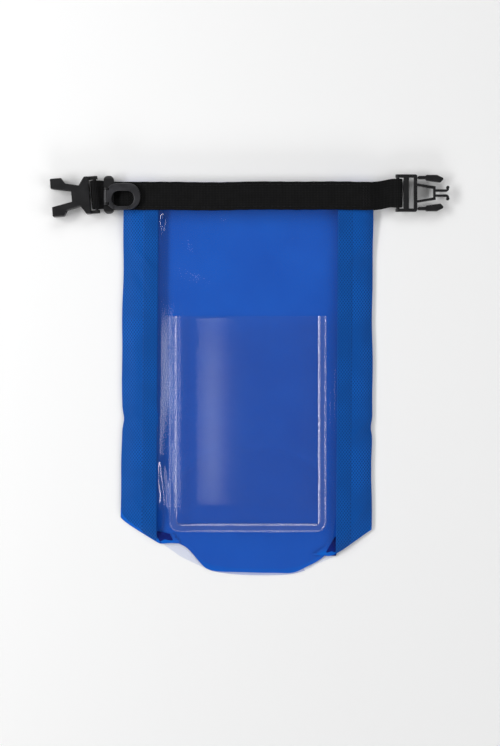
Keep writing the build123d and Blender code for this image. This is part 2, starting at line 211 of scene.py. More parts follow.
@dataclass(frozen=True)
class RipstopFabric:
    """Coated polyester ripstop, woven: small dark lozenges on a brighter diagonal grid, dull from its coating."""

    name: str = "coated ripstop polyester"
    ground: str = "04316d"
    ridge: str = "0c60c0"
    cell_width: float = 2.0
    cell_height: float = 2.7
    relief: float = 0.16
    roughness: float = 0.5
    gloss: float = 0.1
    fading: float = 0.75
    patch: float = 30.0

    def make(self) -> bpy.types.Material:
        """Builds the material on the cloth's own flat UV map, which is in metres."""
        material, tree, out = new_material(self.name)
        uv = cloth_map(tree)
        split = add_node(tree, "ShaderNodeSeparateXYZ", links={0: uv})
        across = maths(tree, "MULTIPLY", split.outputs[0], math.pi / (self.cell_width * MM))
        along = maths(tree, "MULTIPLY", split.outputs[1], math.pi / (self.cell_height * MM))
        rising = maths(tree, "ABSOLUTE", maths(tree, "SINE", maths(tree, "ADD", across, along)))
        falling = maths(tree, "ABSOLUTE", maths(tree, "SINE", maths(tree, "SUBTRACT", across, along)))
        cells = maths(tree, "MULTIPLY", rising, falling)
        ridges = maths(tree, "SUBTRACT", 1.0, cells)
        cloud = clouds_at(tree, uv, self.patch, 2.0)
        clear = ramp(tree, cloud, "000000", "ffffff", 0.4, 0.6)
        strength = maths(tree, "ADD", 1 - self.fading, maths(tree, "MULTIPLY", clear, self.fading))
        weave = maths(tree, "MULTIPLY", maths(tree, "SUBTRACT", ridges, 0.5), strength)
        tint = maths(tree, "ADD", maths(tree, "ADD", weave, 0.42), maths(tree, "MULTIPLY", cloud, 0.16))
        colour = ramp(tree, tint, self.ground, self.ridge)
        bump = relief_of(tree, ridges, self.relief, 0.6)
        rough = maths(tree, "ADD", self.roughness, maths(tree, "MULTIPLY", cells, 0.14))
        values = {"IOR": 1.5, "Specular IOR Level": self.gloss}
        surface(tree, out, values, {"Base Color": colour, "Roughness": rough, "Normal": bump})
        return material


@dataclass(frozen=True)
class CoatedSide:
    """The smooth coated side of the fabric, rolled on: no weave, a faint mottle and a soft shine."""

    name: str = "smooth polyurethane coating"
    low: str = "0b5cc2"
    high: str = "1064cb"
    mottle: float = 40.0
    roughness: float = 0.46
    gloss: float = 0.1

    def make(self) -> bpy.types.Material:
        """Builds the material on the cloth's own flat UV map."""
        material, tree, out = new_material(self.name)
        uv = cloth_map(tree)
        cloud = clouds_at(tree, uv, self.mottle, 3.0)
        colour = ramp(tree, cloud, self.low, self.high, 0.3, 0.7)
        rough = maths(tree, "ADD", self.roughness, maths(tree, "MULTIPLY", cloud, 0.1))
        surface(tree, out, {"IOR": 1.5, "Specular IOR Level": self.gloss}, {"Base Color": colour, "Roughness": rough})
        return material


@dataclass(frozen=True)
class ClearFilm:
    """Clear PVC sheet, calendered: see-through and glossy, with a faint violet haze that varies slowly."""

    name: str = "clear PVC film"
    tint: str = "fafbfe"
    haze: str = "5a74d8"
    haze_share: float = 0.02
    patch: float = 30.0
    gloss: float = 0.7
    roughness: float = 0.08

    def make(self) -> bpy.types.Material:
        """Builds a thin film: clear where it is faced, mirroring more where it tilts away."""
        material, tree, out = new_material(self.name)
        uv = cloth_map(tree)
        clouds = clouds_at(tree, uv, self.patch, 1.0)
        cloudy = maths(tree, "MULTIPLY", maths(tree, "ADD", clouds, 0.5), self.haze_share)
        facing = add_node(tree, "ShaderNodeLayerWeight", values={"Blend": 0.5}).outputs["Facing"]
        grazing = maths(tree, "POWER", facing, 5.0)
        mirrored = maths(tree, "ADD", maths(tree, "MULTIPLY", grazing, 0.6), 0.045)
        share = maths(tree, "MINIMUM", maths(tree, "MULTIPLY", mirrored, self.gloss), 0.9)
        clear = add_node(tree, "ShaderNodeBsdfTransparent", values={0: linear(self.tint)})
        polish = {"Color": (1, 1, 1, 1), "Roughness": self.roughness}
        mirror = add_node(tree, "ShaderNodeBsdfAnisotropic", values=polish)
        glossy = add_node(tree, "ShaderNodeMixShader", links={0: share, 1: clear.outputs[0], 2: mirror.outputs[0]})
        cloud = add_node(tree, "ShaderNodeBsdfDiffuse", values={"Color": linear(self.haze)})
        mix = add_node(tree, "ShaderNodeMixShader", links={0: cloudy, 1: glossy.outputs[0], 2: cloud.outputs[0]})
        tree.links.new(mix.outputs[0], out.inputs[0])
        return material


@dataclass(frozen=True)
class WovenWebbing:
    """Nylon webbing, woven flat: fine ribs across it, broken by lengthwise warp lines, with a dull black dye."""

    name: str = "woven nylon webbing"
    deep: str = "030303"
    crown: str = "1c1c1d"
    rib_pitch: float = 1.05
    warp_pitch: float = 1.7
    relief: float = 0.22
    wear_size: float = 6.0
    roughness: float = 0.68
    gloss: float = 0.08

    def make(self) -> bpy.types.Material:
        """Builds the weave on the ribbon's own flat UV map: U across it, V along it."""
        material, tree, out = new_material(self.name)
        uv = cloth_map(tree)
        split = add_node(tree, "ShaderNodeSeparateXYZ", links={0: uv})
        across = maths(tree, "MULTIPLY", split.outputs[0], math.pi / (self.warp_pitch * MM))
        along = maths(tree, "MULTIPLY", split.outputs[1], math.pi / (self.rib_pitch * MM))
        warps = maths(tree, "ABSOLUTE", maths(tree, "SINE", across))
        shifted = maths(tree, "ADD", along, maths(tree, "MULTIPLY", warps, 0.5))
        ribs = maths(tree, "ABSOLUTE", maths(tree, "SINE", shifted))
        wear = clouds_at(tree, uv, self.wear_size, 3.0)
        weave = maths(tree, "MULTIPLY", ribs, maths(tree, "ADD", maths(tree, "MULTIPLY", warps, 0.45), 0.55))
        shown = maths(tree, "MULTIPLY", weave, maths(tree, "ADD", maths(tree, "MULTIPLY", wear, 0.8), 0.5))
        colour = ramp(tree, shown, self.deep, self.crown, 0.1, 1.0)
        values = {"Roughness": self.roughness, "IOR": 1.5, "Specular IOR Level": self.gloss}
        surface(tree, out, values, {"Base Color": colour, "Normal": relief_of(tree, weave, self.relief, 0.8)})
        return material


@dataclass(frozen=True)
class Moulded:
    """A moulded or drawn solid: a fine grain from the mould, slightly uneven gloss and paler worn patches."""

    name: str
    base: str
    worn: str
    roughness: float
    metallic: float = 0.0
    grain: float = 0.6
    relief: float = 0.02
    ior: float = 1.49
    gloss: float = 0.5
    patch: float = 7.0

    def make(self) -> bpy.types.Material:
        """Builds the material on object coordinates."""
        material, tree, out = new_material(self.name)
        place = add_node(tree, "ShaderNodeTexCoord").outputs["Object"]
        grain = clouds_at(tree, place, self.grain, 3.0)
        patches = clouds_at(tree, place, self.patch, 2.0)
        colour = ramp(tree, patches, self.base, self.worn, 0.42, 0.78)
        rough = maths(tree, "ADD", self.roughness - 0.06, maths(tree, "MULTIPLY", patches, 0.14))
        bump = relief_of(tree, grain, self.relief, 0.6)
        values = {"Metallic": self.metallic, "IOR": self.ior, "Specular IOR Level": self.gloss}
        surface(tree, out, values, {"Base Color": colour, "Roughness": rough, "Normal": bump})
        return material


class Finish(Enum):
    """Every finish on the bag."""

    OUTER_FABRIC = RipstopFabric()
    HEM_FABRIC = RipstopFabric("doubled ripstop hem", ground="042f68", ridge="0b59b2", relief=0.14, fading=0.6)
    COATED_SIDE = CoatedSide()
    BASE_FABRIC = CoatedSide("smooth coated base fabric", low="0b5bc0", high="0f60c6")
    # Dark navy coating colour that stands in for the shade in the bag's inner corners under the film: painted shade.
    FOLDED_CORNER = CoatedSide("coated fabric painted dark as corner shade", low="0a1a63", high="10267a", mottle=5.0)
    SEAM_TAPE = CoatedSide("heat-sealed seam tape", low="0c5dc2", high="1163ca", mottle=20.0)
    WINDOW = ClearFilm()
    POCKET = ClearFilm("clear pocket film", haze="6480d8", haze_share=0.015, gloss=0.7, roughness=0.16)
    WELD = ClearFilm("welded film edge", haze="9fb2ee", haze_share=0.04, gloss=1.5, roughness=0.12)
    RIM = ClearFilm("trimmed film rim", haze="d8dfff", haze_share=0.55, gloss=1.4, roughness=0.2)
    WEBBING = WovenWebbing()
    THREAD = Moulded("bonded nylon thread", "0b0b0c", "1f1f22", 0.6, grain=0.35, relief=0.05, gloss=0.2)
    ACETAL = Moulded("moulded black acetal", "111113", "1a1a1c", 0.4, gloss=0.4)
    GREY_ACETAL = Moulded("moulded dark grey nylon", "232326", "303034", 0.36, gloss=0.45)
    STEEL = Moulded("drawn steel pin", "8a8c90", "a6a8ac", 0.32, metallic=1.0, relief=0.01, ior=1.5)
    STIFFENER = Moulded("extruded polyethylene strip", "c9cbd0", "dcdee2", 0.5, grain=1.2)

    @property
    def material(self) -> bpy.types.Material:
        """The finish's material, made once."""
        found = bpy.data.materials.get(self.value.name)
        return found or self.value.make()


def dress(obj: Piece, finish: Finish) -> None:
    """Gives an object one finish."""
    obj.data.materials.clear()
    obj.data.materials.append(finish.material)


# Shaping


@dataclass(frozen=True)
class Crease:
    """A soft ridge or furrow in a sheet, between two points in bag millimetres."""

    x0: float
    y0: float
    x1: float
    y1: float
    width: float
    rise: float
    wander: float = 0.0

    def height(self, x: Array, y: Array) -> Array:
        """Height that the crease adds at each point, fading out at both ends."""
        run = np.array([self.x1 - self.x0, self.y1 - self.y0])
        length = float(np.hypot(*run))
        run = run / length
        along = (x - self.x0) * run[0] + (y - self.y0) * run[1]
        across = (x - self.x0) * -run[1] + (y - self.y0) * run[0]
        share = np.clip(along / length, 0, 1)
        across = across + self.wander * np.sin(share * 8.5 + 0.6)
        fade = np.sin(math.pi * share) ** 0.7
        past = np.where((along < 0) | (along > length), 0.0, 1.0)
        return self.rise * fade * past * np.exp(-((across / self.width) ** 2))


def swell(x: Array, y: Array, size: float, seed: float) -> Array:
    """Slow unevenness from -1 to 1.

    Args:
        x: Places across, in millimetres.
        y: Places along, in millimetres.
        size: The unevenness's size in millimetres.
        seed: Which of the patterns to take.

    Returns:
        One value for each place.
    """
    return np.array([noise.noise(Vector((a / size, b / size, seed))) for a, b in zip(x, y)])


def settle(t: Array) -> Array:
    """A smooth step from 0 to 1."""
    t = np.clip(t, 0, 1)
    return t * t * (3 - 2 * t)


def smooth_path(points: Sequence[tuple[float, float]], steps: int) -> Array:
    """Rounds an open run of points by cutting its corners.

    Args:
        points: Places in X and Z, in millimetres.
        steps: How many times to cut.

    Returns:
        The rounded run.
    """
    run = np.array(points, float)
    for _ in range(steps):
        near = run[:-1] * 0.75 + run[1:] * 0.25
        past = run[:-1] * 0.25 + run[1:] * 0.75
        mixed = np.empty((2 * len(near), 2))
        mixed[0::2], mixed[1::2] = near, past
        run = np.vstack([run[:1], mixed, run[-1:]])
    return run


def follow(points: Sequence[tuple[float, float]], x: Array) -> Array:
    """Reads a rounded outline's height along the bag at each place across."""
    line = smooth_path(points, 3)
    return np.interp(x, line[:, 0], line[:, 1])


FABRIC_EDGE = (
    (-95.0, 49.0), (-91.2, 43.4), (-87.6, 37.6), (-64.0, 22.8), (-60.5, 20.8), (-52.0, 22.0),
    (0.0, 17.0), (54.0, 12.6), (61.8, 11.9), (86.6, 29.6), (89.3, 31.4), (93.0, 36.0),
)
FILM_EDGE = (
    (-80.0, 34.0), (-64.0, 23.4), (-60.5, 20.4), (-54.7, 16.4), (-47.5, 11.2), (-33.0, 4.6), (-25.0, 0.9),
    (-5.9, -1.2), (10.4, -1.5), (30.0, -1.2), (41.6, 2.2), (49.6, 6.9), (56.0, 9.7), (61.8, 12.1), (80.0, 26.0),
)
BASE_EDGE = (
    (-61.4, 45.0), (-60.0, 34.0), (-53.2, 22.6), (-44.6, 19.0), (-40.3, 14.6), (-34.4, 7.4), (-30.1, 3.0),
    (-22.9, 1.0), (-5.9, 0.8), (8.2, 0.3), (21.2, 0.2), (32.0, -0.2), (40.8, 4.2), (49.0, 8.2), (55.0, 12.6),
    (62.0, 22.0), (68.0, 36.0), (69.4, 45.0),
)


@dataclass
class BagForm:
    """The bag's soft shape, in millimetres from its middle line and the base's lowest edge."""

    centre_x: float
    base_y: float
    half_width: float
    length: float
    thickness: float
    half_window: float
    half_sheet: float
    first_fold: float
    second_fold: float
    base_x: float
    base_a: float
    base_b: float
    corner_y: float
    lean: float = -1.7
    strap_width: float = 20.0
    fold_clearance: float = 14.0
    side_softness: float = 7.0
    mouth_softness: float = 2.6
    end_softness: float = 8.0

    @classmethod
    def from_frame(cls) -> "BagForm":
        """Reads the sizes from the frame's own pieces."""
        low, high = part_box("main_wrap")
        base_low, base_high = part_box("base_panel")
        mouth_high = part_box("mouth_wrap")[1]
        middle_low, middle_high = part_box("middle_wrap")
        hem_low, hem_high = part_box("main_right_hem")
        strap_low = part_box("mouth_strap")[0]
        centre = (low.x + high.x) / 2
        start = base_low.y
        gap = (middle_low.y - high.y) / 2
        half = (high.x - low.x) / 2
        return cls(
            centre_x=centre / MM,
            base_y=start / MM,
            half_width=half / MM,
            length=(mouth_high.y - start) / MM,
            thickness=strap_low.z / MM,
            half_window=(hem_low.x - centre) / MM,
            half_sheet=(hem_high.x - centre) / MM,
            first_fold=(middle_high.y + gap - start) / MM,
            second_fold=(high.y + gap - start) / MM,
            base_x=((base_low.x + base_high.x) / 2 - centre) / MM,
            base_a=(base_high.x - base_low.x) / 2 / MM,
            base_b=(base_high.y - base_low.y) / 2 / MM,
            corner_y=(low.y - start) / MM,
        )

    @property
    def main_end(self) -> float:
        """Where the main stretch of cloth gives way to the one over the second fold."""
        return self.second_fold - self.fold_clearance

    @property
    def middle_end(self) -> float:
        """Where the stretch over the second fold gives way to the one over the first."""
        return self.first_fold - self.fold_clearance

    def to_row(self, points: Array) -> Array:
        """Turns bag millimetres into the row's metres."""
        return (points + np.array([self.centre_x, self.base_y, 0.0])) * MM

    def drift(self, y: Array) -> Array:
        """How far the bag leans across at each height along it."""
        return self.lean * (1 - y / self.length)

    def half_at(self, side: int, y: Array) -> Array:
        """The bag's half width on one side, with the small pinches of its side fold."""
        pinch_y = 104.0 if side > 0 else 110.0
        pinch = 1.1 * np.exp(-(((y - pinch_y) / 5.0) ** 2))
        wave = 0.35 * np.sin(y / 19.0 + side) + 0.25 * np.sin(y / 8.3 + 2 * side)
        calm = settle((self.length - y) / 40.0)
        return self.half_width - 0.3 - (pinch - wave * 0.8) * calm + 0.6 * (1 - y / self.length)

    def corner_line(self, x: Array) -> Array:
        """The fabric tube's lower outline, cut off at both corners."""
        return follow(FABRIC_EDGE, x)

    def film_line(self, x: Array) -> Array:
        """The clear sheet's lower edge, which reaches past the base's fabric."""
        return follow(FILM_EDGE, x)

    def base_line(self, x: Array) -> Array:
        """The base fabric's lower edge."""
        return follow(BASE_EDGE, x)

    def edge_height(self, y: Array) -> Array:
        """How high the side folds lie: low along the bag, half way up at the mouth."""
        return 1.9 + 2.1 * settle((y - (self.length - 60)) / 45)

    def fullness(self, side_gap: Array, end_gap: Array, y: Array) -> Array:
        """From 0 at the outline to 1 inside it: how far apart front and back have come."""
        mouth = settle((y - (self.length - 55)) / 40)
        soft = self.side_softness * (1 - mouth) + self.mouth_softness * mouth
        sides = 1 - np.exp(-np.maximum(side_gap, 0) / soft)
        ends = 1 - np.exp(-np.maximum(end_gap, 0) / self.end_softness)
        return sides * ends

    def side_gap(self, x: Array, y: Array) -> Array:
        """How far each place lies in from the nearer side fold."""
        across = x - self.drift(y)
        return np.minimum(across + self.half_at(-1, y), self.half_at(1, y) - across)

    def edge_at(self, y: Array, line: Array) -> Array:
        """How high the side folds lie, sinking towards the lower outline."""
        return self.edge_height(y) * settle((y - line) / 6 + 0.45)

    def front(self, x: Array, y: Array, line: Array) -> Array:
        """The fabric front's height.

        Args:
            x: Places across, in bag millimetres, lean included.
            y: Places along.
            line: The outline's lower edge at each place.

        Returns:
            Heights in millimetres.
        """
        gap = self.side_gap(x, y)
        full = self.fullness(gap, y - line, y)
        edge = self.edge_at(y, line)
        calm = settle((self.length - 24 - y) / 22)
        ripple = (0.35 * swell(x, y, 30, 1.7) + 0.16 * swell(x, y, 11, 4.1)) * calm * np.clip(gap / 6, 0, 1)
        return edge + (self.thickness - 0.1 - edge) * full + ripple * full

    def back(self, x: Array, y: Array, line: Array) -> Array:
        """The back panel's height, which lies on the floor but for its edges."""
        gap = self.side_gap(x, y)
        edge = self.edge_at(y, line)
        sides = 1 - np.exp(-np.maximum(gap, 0) / 1.4)
        ends = 1 - np.exp(-np.maximum(y - line, 0) / 3.0)
        return edge - (edge - 0.5) * sides * ends


# The bag's sheets


def link_mesh(name: str, bm: bmesh.types.BMesh) -> Piece:
    """Turns a finished bmesh into an object of the scene."""
    mesh = bpy.data.meshes.new(name)
    bm.to_mesh(mesh)
    bm.free()
    obj = bpy.data.objects.new(name, mesh)
    bpy.context.scene.collection.objects.link(obj)
    return obj


def shaped_grid(columns: int, rows: int, place: Place, flat: Place) -> bmesh.types.BMesh:
    """Shapes a grid and maps it as flat cloth.

    Args:
        columns: Divisions across.
        rows: Divisions along.
        place: Gives row-frame metres for each u and v from 0 to 1.
        flat: Gives the flat cloth's UV metres for each u and v.

    Returns:
        The shaped grid.
    """
    bm = bmesh.new()
    bmesh.ops.create_grid(bm, x_segments=columns, y_segments=rows, size=0.5)
    spots = np.array([v.co[:] for v in bm.verts]) + 0.5
    shaped = place(spots[:, 0], spots[:, 1])
    cloth = flat(spots[:, 0], spots[:, 1])
    layer = bm.loops.layers.uv.new("flat")
    for face in bm.faces:
        for loop in face.loops:
            loop[layer].uv = cloth[loop.vert.index][:2]
    for vert, spot in zip(bm.verts, shaped):
        vert.co = spot
    return bm


def sheet_mesh(
    name: str,
    columns: int,
    rows: int,
    place: Place,
    flat: Place,
    wall: float,
    finish: "Finish",
    lining: "Finish | None" = None,
    flip: bool = False,
    drop: Callable[[Vector], bool] | None = None,
) -> Piece:
    """Shapes a grid into a sheet, gives it a wall and dresses it.

    Args:
        name: The piece's name.
        columns: Divisions across.
        rows: Divisions along.
        place: Gives row-frame metres for each u and v from 0 to 1.
        flat: Gives the flat cloth's UV metres for each u and v.
        wall: Thickness in millimetres, grown away from the sheet's outer face.
        finish: The outer face's finish.
        lining: The inner face's finish, where it differs.
        flip: Whether to turn the grid's faces over.
        drop: Says which faces to leave out, from their centres.

    Returns:
        The finished object.
    """
    bm = shaped_grid(columns, rows, place, flat)
    if drop:
        gone = [face for face in bm.faces if drop(face.calc_center_median())]
        bmesh.ops.delete(bm, geom=gone, context="FACES")
    if flip:
        bmesh.ops.reverse_faces(bm, faces=bm.faces)
    obj = link_mesh(name, bm)
    dress(obj, finish)
    solid = obj.modifiers.new("wall", "SOLIDIFY")
    solid.thickness = wall * MM
    solid.offset = -1
    if lining:
        obj.data.materials.append(lining.material)
        solid.material_offset = 1
    settle_mesh(obj)
    return obj


def settle_mesh(obj: Piece, sharp: float = 50.0) -> None:
    """Applies an object's modifiers and smooths its shading, but for its sharp edges.

    Args:
        obj: The object.
        sharp: Angle in degrees past which an edge stays sharp.
    """
    graph = bpy.context.evaluated_depsgraph_get()
    mesh = bpy.data.meshes.new_from_object(obj.evaluated_get(graph))
    obj.modifiers.clear()
    obj.data = mesh
    for polygon in mesh.polygons:
        polygon.use_smooth = True
    mesh.set_sharp_from_angle(angle=math.radians(sharp))


def mount(made: dict[str, tuple[Piece, str]], body: str) -> list[Piece]:
    """Hangs pieces on one body.

    Args:
        made: For each CAD node, the piece that stands for it and its colour slot.
        body: The body that they ride on.

    Returns:
        The pieces.
    """
    for node, (obj, slot) in made.items():
        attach(obj, body)
        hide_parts(node)
    return [obj for obj, _ in made.values()]


def stack(x: Array, y: Array, z: Array) -> Array:
    """Joins three coordinate arrays into points."""
    return np.stack([x, y, z], axis=1)


class Stretch(Enum):
    """The three stretches of cloth, each with the node it stands for and the bodies it joins."""

    MAIN = ("main", "main", None)
    MIDDLE = ("middle", "main", "middle_band")
    MOUTH = ("mouth", "middle_band", "mouth_band")


@dataclass
class Tube:
    """The tube of the bag: fabric wrap, clear window and the two doubled hems."""

    form: BagForm
    fabric: float = 0.45
    film: float = 0.4
    film_ramp: float = 32.0
    hem_width: float = 10.6
    hem_rise: float = 0.38
    hem_wall: float = 0.36
    hem_overhang: float = 0.4
    lowest_front: float = 0.62
    film_drop: float = 1.45
    film_foot: float = 4.0
    side_fold_radius: float = 12.0
    half_bend: float = 5.5
    clear_of_seam: float = 0.5

    STRIP_FOLDS = (
        Crease(-86, 236, -66, 214, 2.4, 0.7),
        Crease(-84, 222, -70, 196, 2.0, -0.5),
        Crease(86, 240, 67, 216, 2.4, 0.7),
        Crease(87, 226, 73, 200, 2.0, -0.45),
        Crease(-90, 118, -70, 104, 2.2, 0.55),
        Crease(-89, 108, -74, 96, 1.8, -0.5),
        Crease(90, 112, 72, 96, 2.2, 0.6),
        Crease(88, 100, 76, 92, 1.8, -0.45),
        Crease(-88, 60, -66, 30, 2.6, 0.6),
        Crease(88, 54, 66, 24, 2.6, 0.6),
        Crease(-83, 170, -78, 136, 2.6, 0.35),
        Crease(82, 182, 79, 140, 2.6, 0.35),
    )
    WINDOW_FOLDS = (
        Crease(-60.2, 84, -59.6, 20, 2.6, 2.1, 0.9),
        Crease(-60.5, 270, -60.5, 242, 1.1, 2.4),
        Crease(-50, 259, -36, 226, 5.5, 0.6),
        Crease(-24, 260, -14, 222, 6.0, -0.5),
        Crease(6, 260, 10, 226, 6.0, 0.5),
        Crease(30, 260, 24, 224, 6.0, -0.5),
        Crease(56, 258, 44, 222, 5.0, 0.5),
        Crease(-56, 226, -2, 194, 8.0, 0.4),
        Crease(-44, 212, 12, 188, 6.0, -0.3),
        Crease(60.5, 190, 59, 60, 2.4, 0.3),
        Crease(-56, 24, -36, 8, 3.0, 0.5),
        Crease(56, 22, 36, 7, 3.0, 0.5),
    )

    def span(self, stretch: Stretch) -> tuple[float | None, float]:
        """Where a stretch starts and ends along the bag; None starts at the outline."""
        form = self.form
        spans = {
            Stretch.MAIN: (None, form.main_end),
            Stretch.MIDDLE: (form.main_end, form.middle_end),
            Stretch.MOUTH: (form.middle_end, form.length),
        }
        return spans[stretch]

    def rows(self, stretch: Stretch) -> int:
        """How many divisions a stretch takes along the bag."""
        return {Stretch.MAIN: 150, Stretch.MIDDLE: 26, Stretch.MOUTH: 36}[stretch]

    def along(self, stretch: Stretch, v: Array, line: Array, end: float | None = None) -> Array:
        """Places along the bag for v from 0 to 1."""
        start, stop = self.span(stretch)
        low = line if start is None else np.full_like(v, start)
        return low + (min(stop, end or stop) - low) * v

    def strip_height(self, x: Array, y: Array) -> Array:
        """The front strips' height, with their small diagonal folds."""
        folds = sum(crease.height(x, y) for crease in self.STRIP_FOLDS)
        gap = np.clip((self.form.half_width - np.abs(x - self.form.drift(y))) / 5, 0, 1)
        calm = settle((self.form.length - 24 - y) / 12)
        height = self.form.front(x, y, self.form.corner_line(x)) + folds * gap * calm
        return np.maximum(height, self.lowest_front)

    def window_height(self, x: Array, y: Array) -> Array:
        """The clear sheet's height: just under the strips, down to the base at its end."""
        form = self.form
        line = form.film_line(x)
        gap = form.half_width - np.abs(x - form.drift(y))
        full = form.fullness(gap, form.length + y, y) * settle((y - line) / self.film_ramp)
        folds = sum(crease.height(x, y) for crease in self.WINDOW_FOLDS)
        calm = settle((form.length - 20 - y) / 8)
        soft = 0.3 * swell(x, y, 44, 8.3) + 0.06 * swell(x, y, 17, 2.9)
        inset = form.half_window - self.hem_overhang - np.abs(x - form.drift(y))
        relief = (folds + 0.1) * settle(inset / 2.4) + soft * settle(inset / 12)
        return self.lowest_front + (form.thickness - self.film_drop) * full + relief * calm * full

    def wrap(self, stretch: Stretch) -> Piece:
        """The fabric of one stretch: strip, side fold, back, side fold, strip."""
        form = self.form
        strip = form.half_width - form.half_window
        around = 2 * (strip + form.half_width)

        def path(u: Array, v: Array) -> tuple[Array, Array, Array]:
            """Signed distance from the middle at the back, and which points lie in front."""
            s = (u - 0.5) * 2
            side = np.where(s < 0, -1, 1)
            t = np.abs(s) * (strip + form.half_width)
            fold = form.half_width
            bend = self.side_fold_radius
            near = np.clip(np.abs(t - fold) / bend, 0, 1)
            eased = fold + np.sign(t - fold) * np.where(near < 1, bend * near**1.7, np.abs(t - fold))
            return side, eased, eased > fold

        def place(u: Array, v: Array) -> Array:
            """Places of the shaped piece, in the row frame."""
            side, t, front = path(u, v)
            offset = np.where(front, 2 * form.half_width - t, t)
            guess = side * offset
            line = form.corner_line(guess)
            y = self.along(stretch, v, line)
            half = np.where(side < 0, form.half_at(-1, y), form.half_at(1, y))
            x = side * offset * half / form.half_width + form.drift(y)
            top = self.strip_height(x, y)
            low = form.back(x, y, form.corner_line(x))
            z = np.where(front, top, low)
            return form.to_row(stack(x, y, z))

        def flat(u: Array, v: Array) -> Array:
            """Places on the cloth laid flat, in metres."""
            side, t, front = path(u, v)
            line = form.corner_line(side * np.where(front, 2 * form.half_width - t, t))
            return stack(side * t + around / 2, self.along(stretch, v, line), u * 0) * MM

        def inside_base(centre: Vector) -> bool:
            """Whether a face of the back lies over the base panel, where the wrap is cut out."""
            if stretch is not Stretch.MAIN or centre.z > 1.5 * MM:
                return False
            dx = (centre.x / MM - form.centre_x - form.base_x) / (form.base_a - 2.5)
            dy = (centre.y / MM - form.base_y - form.base_b) / (form.base_b - 2.5)
            return dx * dx + dy * dy < 1

        name = f"{stretch.value[0]}_fabric_wrap"
        return sheet_mesh(
            name, 150, self.rows(stretch), place, flat, self.fabric,
            Finish.OUTER_FABRIC, Finish.COATED_SIDE, flip=True, drop=inside_base,
        )

    def window(self, stretch: Stretch) -> Piece:
        """The clear sheet of one stretch."""
        form = self.form
        half = form.half_sheet - 1

        def place(u: Array, v: Array) -> Array:
            """Places of the shaped piece, in the row frame."""
            across = (u * 2 - 1) * half
            y = self.along(stretch, v, form.film_line(across + form.lean))
            x = across + form.drift(y)
            return form.to_row(stack(x, y, self.window_height(x, y)))

        def flat(u: Array, v: Array) -> Array:
            """Places on the cloth laid flat, in metres."""
            return stack(u * 2 * half, self.along(stretch, v, np.zeros_like(v)), u * 0) * MM

        name = f"{stretch.value[0]}_clear_window"
        return sheet_mesh(name, 240, self.rows(stretch), place, flat, self.film, Finish.WINDOW)

    def hem(self, stretch: Stretch, side: int) -> Piece:
        """The strip's doubled edge on one side, over the window's seam."""
        form = self.form
        end = form.length - form.strap_width

        def place(u: Array, v: Array) -> Array:
            """Places of the shaped piece, in the row frame."""
            across = form.half_window - self.hem_overhang + u * self.hem_width
            y = self.along(stretch, v, form.corner_line(side * across), end)
            x = side * across + form.drift(y)
            edge = np.minimum(u, 1 - u) * self.hem_width
            crown = self.hem_rise * np.sqrt(np.clip(edge / 0.7, 0, 1))
            seam = -0.12 * np.exp(-(((edge - 1.6) / 0.5) ** 2))
            return form.to_row(stack(x, y, self.strip_height(x, y) + crown + seam))

        def flat(u: Array, v: Array) -> Array:
            """Places on the cloth laid flat, in metres."""
            line = form.corner_line(side * (form.half_window - self.hem_overhang + u * self.hem_width))
            return stack(u * self.hem_width, self.along(stretch, v, line, end), u * 0) * MM

        name = f"{stretch.value[0]}_{'left' if side < 0 else 'right'}_doubled_hem"
        return sheet_mesh(name, 20, self.rows(stretch), place, flat, self.hem_wall, Finish.HEM_FABRIC, flip=side < 0)

    def build(self) -> list[Piece]:
        """Builds all stretches; the main stretch's pieces ride on the main body, the others keep their baked place.
        """
        made = []
        for stretch in Stretch:
            label = stretch.value[0]
            pieces = {
                f"{label}_wrap": self.wrap(stretch),
                f"{label}_window": self.window(stretch),
                f"{label}_left_hem": self.hem(stretch, -1),
                f"{label}_right_hem": self.hem(stretch, 1),
            }
            for node, obj in pieces.items():
                self.hang(obj, stretch)
                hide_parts(node)
                made.append(obj)
        return made

    def hang(self, obj: Piece, stretch: Stretch) -> None:
        """Makes a main-stretch piece ride on its body; a piece of a stretch that crosses a fold only has its
        placement baked into its mesh.
        """
        _, low_body, high_body = stretch.value
        if high_body is None:
            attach(obj, low_body)
            return
        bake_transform(obj)


